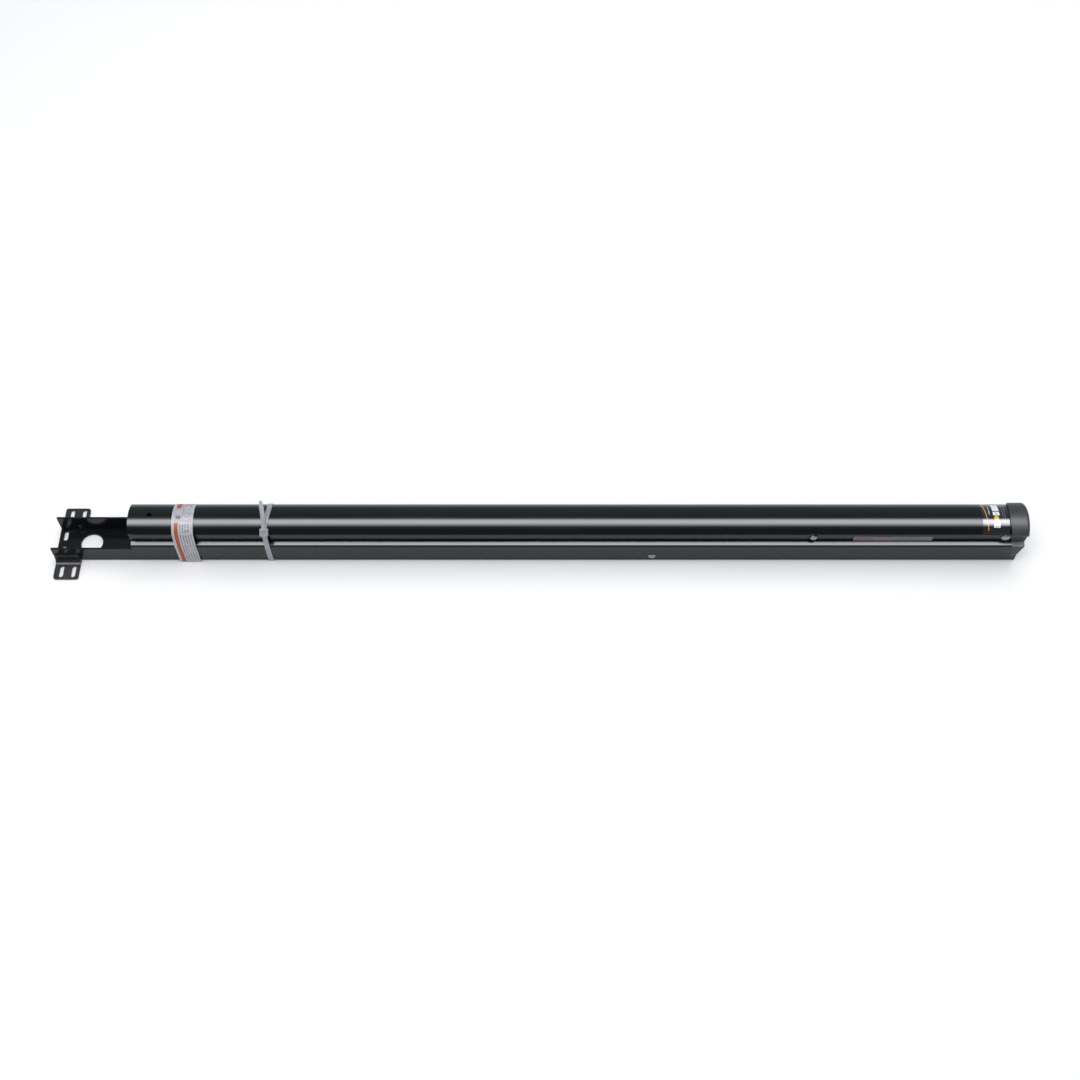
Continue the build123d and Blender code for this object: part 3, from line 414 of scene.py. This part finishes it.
materials = {
    "black_anodised": anodised(),
    "black_bracket": powder_coat(
        "look_black_bracket", (0.008, 0.008, 0.009), (0.016, 0.016, 0.017), (0.28, 0.40)
    ),
    "black_link": powder_coat(
        "look_black_link", (0.006, 0.006, 0.007), (0.012, 0.012, 0.013), (0.30, 0.42)
    ),
    "dark_rivet": metal(
        "look_dark_rivet", (0.030, 0.030, 0.032), (0.060, 0.060, 0.063), (0.38, 0.54)
    ),
    "plated_steel": plated(),
    "nylon": plastic(
        "look_nylon", (0.60, 0.59, 0.55), (0.70, 0.69, 0.64), (0.38, 0.5),
        subsurface_weight=0.2, subsurface_scale=0.002,
    ),
    "bronze": bronze(),
    "rubber_pad": plastic(
        "look_rubber_pad", (0.018, 0.018, 0.018), (0.032, 0.032, 0.031), (0.7, 0.9),
        texture=0.6, depth=0.03,
    ),
    "tie_nylon": tie_nylon(),
    "cap_plastic": plastic(
        "look_cap_plastic", (0.024, 0.025, 0.027), (0.036, 0.037, 0.040), (0.36, 0.48),
        texture=0.7, depth=0.05,
    ),
    "sticker_film": maker_film(),
    "data_film": data_film(),
    "band_paper": caution_paper(),
    "rod_chrome": metal(
        "look_rod_chrome", (0.62, 0.62, 0.64), (0.74, 0.74, 0.76), (0.05, 0.12),
        brush=(120, 1, 1), brush_size=0.3, depth=0.001,
    ),
    "tube_black": powder_coat(
        "look_tube_black", (0.010, 0.010, 0.011), (0.016, 0.016, 0.017), (0.16, 0.24),
        peel=0.006,
    ),
    "seal_black": plastic(
        "look_seal_black", (0.014, 0.014, 0.014), (0.024, 0.024, 0.024), (0.3, 0.42)
    ),
}

# ---- CAD nodes: materials and broken edges -------------------------------
EDGE_BREAK = {
    "top_bracket_near": 0.4, "top_bracket_far": 0.4,
    "lower_link": 0.4, "upper_link": 0.4,
    "lower_arm_bolt": 0.3, "lower_arm_nut": 0.5,
    "strut_base_eye": 0.4, "strut_rod_eye": 0.4, "strut_gland": 0.4,
    "rest_pad_near": 0.6, "rest_pad_far": 0.6,
}
WELD = 0.002 * MM
SHARP = radians(28)


def break_edges(node, width):
    """Round a CAD node's sharp edges, so that they catch the light."""
    weld = node.modifiers.new("weld", "WELD")
    weld.merge_threshold = WELD
    bevel = node.modifiers.new("edges", "BEVEL")
    bevel.width = width * MM
    bevel.segments = 2
    bevel.limit_method = "ANGLE"
    bevel.angle_limit = SHARP
    bevel.use_clamp_overlap = True
    bevel.harden_normals = False
    normals = node.modifiers.new("normals", "WEIGHTED_NORMAL")
    normals.keep_sharp = True


for row in frame["record"]["subparts"]:
    node = nodes[row["node"]]
    node.material_slots[0].material = materials[row["material_slot"]]
    if row["node"] in EDGE_BREAK:
        break_edges(node, EDGE_BREAK[row["node"]])

# ---- cable tie -----------------------------------------------------------
STRAP_WIDTH = 9 * MM
STRAP_THICKNESS = 1.3 * MM
STRAP_GAP = 0.3 * MM
TOOTH_PITCH = 1.6 * MM
TOOTH_DEPTH = 0.45 * MM
TIE_SHARP = radians(35)

HEAD_SIZE = Vector((15, 14, 7)) * MM
HEAD_ANGLE = radians(43.6)
HEAD_SLOPE = 1.6 * MM
HEAD_ROUND = 1.5 * MM
HEAD_RIM = 2.0 * MM
HEAD_SUNK = 1.6 * MM
HEAD_REACH = 14 * MM

TAIL_RISE = radians(36)
TAIL_TILT = radians(40)
TAIL_LIFT = 2.2 * MM
TAIL_BEND = 26 * MM
TAIL_NARROWER = 1 * MM
TAPER_START = 0.86
TAPER = 0.62
TAPER_POWER = 1.6

TIE_X_HEAD = tie_high.x - HEAD_SIZE.x / 2
GROOVE_Z = tie_low.z + STRAP_THICKNESS + STRAP_GAP
FLOOR_SLACK = 0.2 * MM
# how far the strap's middle strays from the head along X, by share of the loop
STRAP_SWAY = ((0.0, 0.0), (0.16, 6.0), (0.34, 4.5), (0.60, 1.5), (0.84, 1.0), (1.0, 0.0))
CORNER_STEP = radians(7)


def loop_outline():
    """Hull of the arm and channel in (y, z), lifted out of the tie's groove."""
    found = {
        (round(v.co.y, 6), round(v.co.z, 6))
        for name in ("outer_arm", "channel_flange_near", "channel_flange_far")
        for v in nodes[name].data.vertices
        if v.co.z > GROOVE_Z - FLOOR_SLACK
    }
    points = [Vector(p) for p in sorted(found)]
    return [points[i] for i in convex_hull_2d(points)]


def stations(outline, gap, step):
    """Evenly spaced (point, normal) pairs round a hull grown by gap."""
    count = len(outline)
    area = sum(
        outline[i].x * outline[(i + 1) % count].y - outline[(i + 1) % count].x * outline[i].y
        for i in range(count)
    )
    if area > 0:
        outline = outline[::-1]
    path = []
    for i in range(count):
        here, after = outline[i], outline[(i + 1) % count]
        before = outline[i - 1]
        normals = []
        for start, end in ((before, here), (here, after)):
            along = (end - start).normalized()
            normals.append(Vector((-along.y, along.x)))
        turn = normals[0].angle(normals[1], 0.0)
        pieces = max(1, int(turn / CORNER_STEP))
        for k in range(pieces + 1):
            normal = normals[0].lerp(normals[1], k / pieces).normalized()
            path.append((here + normal * gap, normal))
    lengths = [0.0]
    for i in range(1, len(path) + 1):
        lengths.append(lengths[-1] + (path[i % len(path)][0] - path[i - 1][0]).length)
    total = lengths[-1]
    number = int(total / step)
    spaced = []
    i = 0
    for k in range(number):
        wanted = total * k / number
        while lengths[i + 1] < wanted:
            i += 1
        share = (wanted - lengths[i]) / max(lengths[i + 1] - lengths[i], 1e-9)
        a, b = path[i], path[(i + 1) % len(path)]
        spaced.append((a[0].lerp(b[0], share), a[1].lerp(b[1], share).normalized()))
    return spaced


def sway(share):
    """How far the strap strays along X at this share of the loop, eased."""
    for (s0, x0), (s1, x1) in zip(STRAP_SWAY, STRAP_SWAY[1:]):
        if share <= s1:
            t = (share - s0) / (s1 - s0)
            t = t * t * (3 - 2 * t)
            return (x0 + (x1 - x0) * t) * MM
    return 0.0


def strap_section(width, tooth):
    """Strap cross-section as (across, outwards), teeth on the inner face."""
    half = width / 2
    edge = 0.3 * MM
    rail = 1.4 * MM
    return (
        (-half, edge), (-half + edge, 0), (-half + rail, 0), (-half + rail + edge, tooth),
        (half - rail - edge, tooth), (half - rail, 0), (half - edge, 0), (half, edge),
        (half, STRAP_THICKNESS - edge), (half - edge, STRAP_THICKNESS),
        (-half + edge, STRAP_THICKNESS), (-half, STRAP_THICKNESS - edge),
    )


def sweep(bm, path, closed):
    """Skin a strap along (point, outward normal, width, tooth) stations."""
    rings = []
    for k, (point, normal, width, tooth) in enumerate(path):
        after = path[min(k + 1, len(path) - 1)][0]
        before = path[max(k - 1, 0)][0]
        if closed:
            after = path[(k + 1) % len(path)][0]
            before = path[k - 1][0]
        along = (after - before).normalized()
        across = along.cross(normal).normalized()
        out = across.cross(along)
        section = strap_section(width, tooth)
        rings.append([bm.verts.new(point + across * a + out * b) for a, b in section])
    count = len(rings[0])
    last = len(rings) if closed else len(rings) - 1
    for k in range(last):
        one, two = rings[k], rings[(k + 1) % len(rings)]
        for j in range(count):
            bm.faces.new((one[j], one[(j + 1) % count], two[(j + 1) % count], two[j]))
    if not closed:
        bm.faces.new(rings[0][::-1])
        bm.faces.new(rings[-1])


def on_crown(angle, lift):
    """Point at this angle from the crown's top towards the near side."""
    radius = CROWN_RADIUS + lift
    return Vector((TIE_X_HEAD, -radius * sin(angle), CROWN_CENTRE_Z + radius * cos(angle)))


def loop_path():
    """Stations of the closed strap, starting at the head and crossing the top."""
    loop = stations(loop_outline(), STRAP_GAP, TOOTH_PITCH / 2)
    head_at = on_crown(HEAD_ANGLE, 0)
    first = min(
        range(len(loop)),
        key=lambda k: hypot(loop[k][0].x - head_at.y, loop[k][0].y - head_at.z),
    )
    loop = loop[first:] + loop[:first]
    # turn the loop round if its first stations run down from the head
    if loop[8][0].y < loop[0][0].y:
        loop = [loop[0]] + loop[:0:-1]
    path = []
    for k, (point, normal) in enumerate(loop):
        x = TIE_X_HEAD + sway(k / len(loop))
        tooth = TOOTH_DEPTH if k % 2 else 0.0
        place = Vector((x, point.x, point.y))
        path.append((place, Vector((0, normal.x, normal.y)), STRAP_WIDTH, tooth))
    return path


def tail_path():
    """Stations of the tail, from the head up to its tapered tip."""
    start = on_crown(HEAD_ANGLE, STRAP_THICKNESS + TAIL_LIFT)
    tip = Vector((tie_low.x + STRAP_WIDTH / 2, 0, tie_high.z - STRAP_THICKNESS))
    tip.y = start.y + (tip.z - start.z) / sin(TAIL_RISE) * cos(TAIL_RISE)
    rise = Vector((0, cos(HEAD_ANGLE), sin(HEAD_ANGLE)))
    bend = start + rise * TAIL_BEND
    normal = Vector((0, -sin(TAIL_TILT), cos(TAIL_TILT)))
    count = int((tip - start).length / (TOOTH_PITCH / 2))
    tail = []
    for k in range(count + 1):
        t = k / count
        point = start.lerp(bend, t).lerp(bend.lerp(tip, t), t)
        tapered = max(0.0, (t - TAPER_START) / (1 - TAPER_START))
        width = (STRAP_WIDTH - TAIL_NARROWER) * (1 - TAPER * tapered**TAPER_POWER)
        tooth = TOOTH_DEPTH if k % 2 and t < TAPER_START else 0.0
        tail.append((point, normal, width, tooth))
    return tail


def add_head(bm):
    """Moulded head: a sloped, rounded block with a sunk pocket on its top."""
    made = bmesh.ops.create_cube(bm, size=1.0)["verts"]
    turn = Matrix.Rotation(HEAD_ANGLE, 4, "X")
    centre = on_crown(HEAD_ANGLE, STRAP_GAP + HEAD_SIZE.z / 2)
    bmesh.ops.scale(bm, vec=HEAD_SIZE, verts=made)
    upper = [v for v in made if v.co.y > 0 and v.co.z > 0]
    for vert in upper:
        vert.co.z -= HEAD_SLOPE
    edges = list({e for v in made for e in v.link_edges})
    bmesh.ops.bevel(
        bm, geom=edges, offset=HEAD_ROUND, segments=3, affect="EDGES", profile=0.6
    )
    head = {v for v in bm.verts if v.co.length < HEAD_REACH}
    bm.normal_update()
    top = max(
        (f for f in bm.faces if all(v in head for v in f.verts)),
        key=lambda f: f.calc_area() * max(f.normal.z, 0),
    )
    bmesh.ops.inset_region(bm, faces=[top], thickness=HEAD_RIM)
    pocket = bmesh.ops.extrude_face_region(bm, geom=[top])["geom"]
    sunk = [v for v in pocket if isinstance(v, bmesh.types.BMVert)]
    bmesh.ops.translate(bm, verts=sunk, vec=(0, 0, -HEAD_SUNK))
    bmesh.ops.delete(bm, geom=[top], context="FACES_ONLY")
    head = [v for v in bm.verts if v.co.length < HEAD_REACH]
    bmesh.ops.transform(bm, matrix=Matrix.Translation(centre) @ turn, verts=head)


def build_tie():
    """The whole tie as one object: loop, tail and head."""
    bm = bmesh.new()
    sweep(bm, loop_path(), closed=True)
    sweep(bm, tail_path(), closed=False)
    add_head(bm)
    bmesh.ops.recalc_face_normals(bm, faces=bm.faces)
    mesh = bpy.data.meshes.new("cable_tie_strap")
    bm.to_mesh(mesh)
    bm.free()
    for polygon in mesh.polygons:
        polygon.use_smooth = True
    mesh.set_sharp_from_angle(angle=TIE_SHARP)
    mesh.materials.append(materials["tie_nylon"])
    tie = bpy.data.objects.new("cable_tie_strap", mesh)
    bpy.context.scene.collection.objects.link(tie)
    return tie


tie = build_tie()
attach(tie, "wall_channel")
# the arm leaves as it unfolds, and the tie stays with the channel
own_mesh(tie)
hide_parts("cable_tie")

# ---- studio --------------------------------------------------------------
FLOOR_HALF = 9.0
FLOOR_DROP = 0.2 * MM


def sheet_mesh(name, half_x, y_low, y_high, z, cells=24):
    """Flat grid facing up, between y_low and y_high."""
    bm = bmesh.new()
    rows = []
    for j in range(cells + 1):
        y = y_low + (y_high - y_low) * j / cells
        rows.append(
            [bm.verts.new((half_x * (2 * i / cells - 1), y, z)) for i in range(cells + 1)]
        )
    for low_row, high_row in zip(rows, rows[1:]):
        for i in range(cells):
            bm.faces.new((low_row[i], low_row[i + 1], high_row[i + 1], high_row[i]))
    mesh = bpy.data.meshes.new(name)
    bm.to_mesh(mesh)
    bm.free()
    made = bpy.data.objects.new(name, mesh)
    bpy.context.scene.collection.objects.link(made)
    return made


def floor_material():
    """Matt pale sheet, with painted shade where the arm mirrors it: darker in glossy rays."""
    g = Graph("look_floor")
    cloud = g.noise(0.35, detail=3)
    tone = g.mix(cloud, (0.87, 0.87, 0.87), (0.91, 0.91, 0.91))
    painted_shade_in_gloss = g.node("ShaderNodeLightPath").outputs["Is Glossy Ray"]
    # painted shade: glossy rays see a darker floor, standing in for the shadow beside the arm
    tone = g.mix(painted_shade_in_gloss, tone, (0.62, 0.64, 0.67))
    rough = g.span(cloud, 0.3, 0.7, 0.8, 0.9)
    return g.finish(tone, rough, specular_ior_level=0.1)


floor_sheet = sheet_mesh("floor", FLOOR_HALF, -FLOOR_HALF, FLOOR_HALF, -FLOOR_DROP, cells=2)
floor_sheet.data.materials.append(floor_material())

# the softbox: a sheet seen only in the gloss, fading out on both long sides
CARD_HEIGHT = 2.6
CARD_NEAR = -1.5
CARD_NEAR_FULL = -0.25
CARD_FAR_FULL = -0.02
CARD_FAR = 0.66
CARD_GLOW = 12.0
CARD_HALF = 2.15


def glow_material():
    """Emission that fades in from the near side and out to the far side."""
    g = Graph("look_softbox")
    glow = g.node("ShaderNodeEmission")
    glow.inputs["Color"].default_value = (0.93, 0.93, 1.0, 1.0)
    near_fade = g.span(g.y, CARD_NEAR, CARD_NEAR_FULL, smooth=True)
    far_fade = g.span(g.y, CARD_FAR, CARD_FAR_FULL, smooth=True)
    strength = g.math("MULTIPLY", g.math("MULTIPLY", near_fade, far_fade), CARD_GLOW)
    g.join(strength, glow.inputs["Strength"])
    output = g.tree.nodes["Material Output"]
    g.join(glow.outputs[0], output.inputs["Surface"])
    g.tree.nodes.remove(g.shader)
    return g.material


card = sheet_mesh("softbox", CARD_HALF, CARD_NEAR, CARD_FAR, CARD_HEIGHT)
card.data.materials.append(glow_material())
card.visible_camera = False
card.visible_diffuse = False
card.visible_transmission = False
card.visible_shadow = False


def area_light(name, place, aim, size, power):
    """Soft light that fills the diffuse colours and leaves the gloss alone."""
    data = bpy.data.lights.new(name, "AREA")
    data.shape = "RECTANGLE"
    data.size, data.size_y = size
    data.energy = power
    lamp = bpy.data.objects.new(name, data)
    lamp.location = place
    lamp.rotation_mode = "QUATERNION"
    lamp.rotation_quaternion = (Vector(aim) - Vector(place)).to_track_quat("-Z", "Y")
    lamp.visible_glossy = False
    bpy.context.scene.collection.objects.link(lamp)


area_light("key", (-0.6, -1.0, 3.4), (0, -0.1, 0), (3.4, 2.6), 66.0)
area_light("fill", (0.9, 1.5, 3.2), (0, 0.1, 0), (3.0, 2.4), 48.0)

DIFFUSE_FILL = 0.62
BACKDROP = 0.93
# the gloss reads the world by the Y part of its direction
GLOSS_NEAR_Y = -0.1
GLOSS_FAR_Y = 0.9
GLOSS_NEAR = 0.11
GLOSS_FAR = 0.40


def studio_world():
    """Pale backdrop and even fill; in the gloss, dark teal that pales behind."""
    world = bpy.data.worlds.new("studio")
    world.use_nodes = True
    tree = world.node_tree
    tree.nodes.clear()
    rays = tree.nodes.new("ShaderNodeLightPath")
    heading = tree.nodes.new("ShaderNodeSeparateXYZ")
    place = tree.nodes.new("ShaderNodeTexCoord")
    tree.links.new(place.outputs["Generated"], heading.inputs[0])
    behind = tree.nodes.new("ShaderNodeMapRange")
    tree.links.new(heading.outputs["Y"], behind.inputs["Value"])
    behind.inputs["From Min"].default_value = GLOSS_NEAR_Y
    behind.inputs["From Max"].default_value = GLOSS_FAR_Y
    behind.inputs["To Min"].default_value = GLOSS_NEAR
    behind.inputs["To Max"].default_value = GLOSS_FAR
    shown = None
    for colour, strength, ray in (
        ((0.95, 0.97, 1.0), DIFFUSE_FILL, None),
        ((0.76, 0.96, 1.0), behind.outputs[0], "Is Glossy Ray"),
        ((1.0, 1.0, 1.0), BACKDROP, "Is Camera Ray"),
    ):
        background = tree.nodes.new("ShaderNodeBackground")
        background.inputs["Color"].default_value = (*colour, 1)
        if isinstance(strength, bpy.types.NodeSocket):
            tree.links.new(strength, background.inputs["Strength"])
        else:
            background.inputs["Strength"].default_value = strength
        if shown is None:
            shown = background.outputs[0]
            continue
        choose = tree.nodes.new("ShaderNodeMixShader")
        tree.links.new(rays.outputs[ray], choose.inputs[0])
        tree.links.new(shown, choose.inputs[1])
        tree.links.new(background.outputs[0], choose.inputs[2])
        shown = choose.outputs[0]
    out = tree.nodes.new("ShaderNodeOutputWorld")
    tree.links.new(shown, out.inputs["Surface"])
    return world


bpy.context.scene.world = studio_world()

# ---- camera --------------------------------------------------------------
CAMERA_AT = Vector((0.006, -1.4301, 2.3301))
CAMERA_UP = Vector((0, 0.8508, 0.5255))
CAMERA_BACK = Vector((0, -0.5255, 0.8508))
LENS = 49.6
SENSOR = 36.0
CLIP_NEAR = 0.05
CLIP_FAR = 50

camera_data = bpy.data.cameras.new("camera")
camera_data.lens = LENS
camera_data.sensor_width = SENSOR
camera_data.clip_start = CLIP_NEAR
camera_data.clip_end = CLIP_FAR
camera = bpy.data.objects.new("camera", camera_data)
bpy.context.scene.collection.objects.link(camera)
axes = Matrix((Vector((1, 0, 0)), CAMERA_UP, CAMERA_BACK)).transposed().to_4x4()
camera.matrix_world = Matrix.Translation(CAMERA_AT) @ axes
bpy.context.scene.camera = camera
bpy.context.scene.view_settings.view_transform = "Standard"
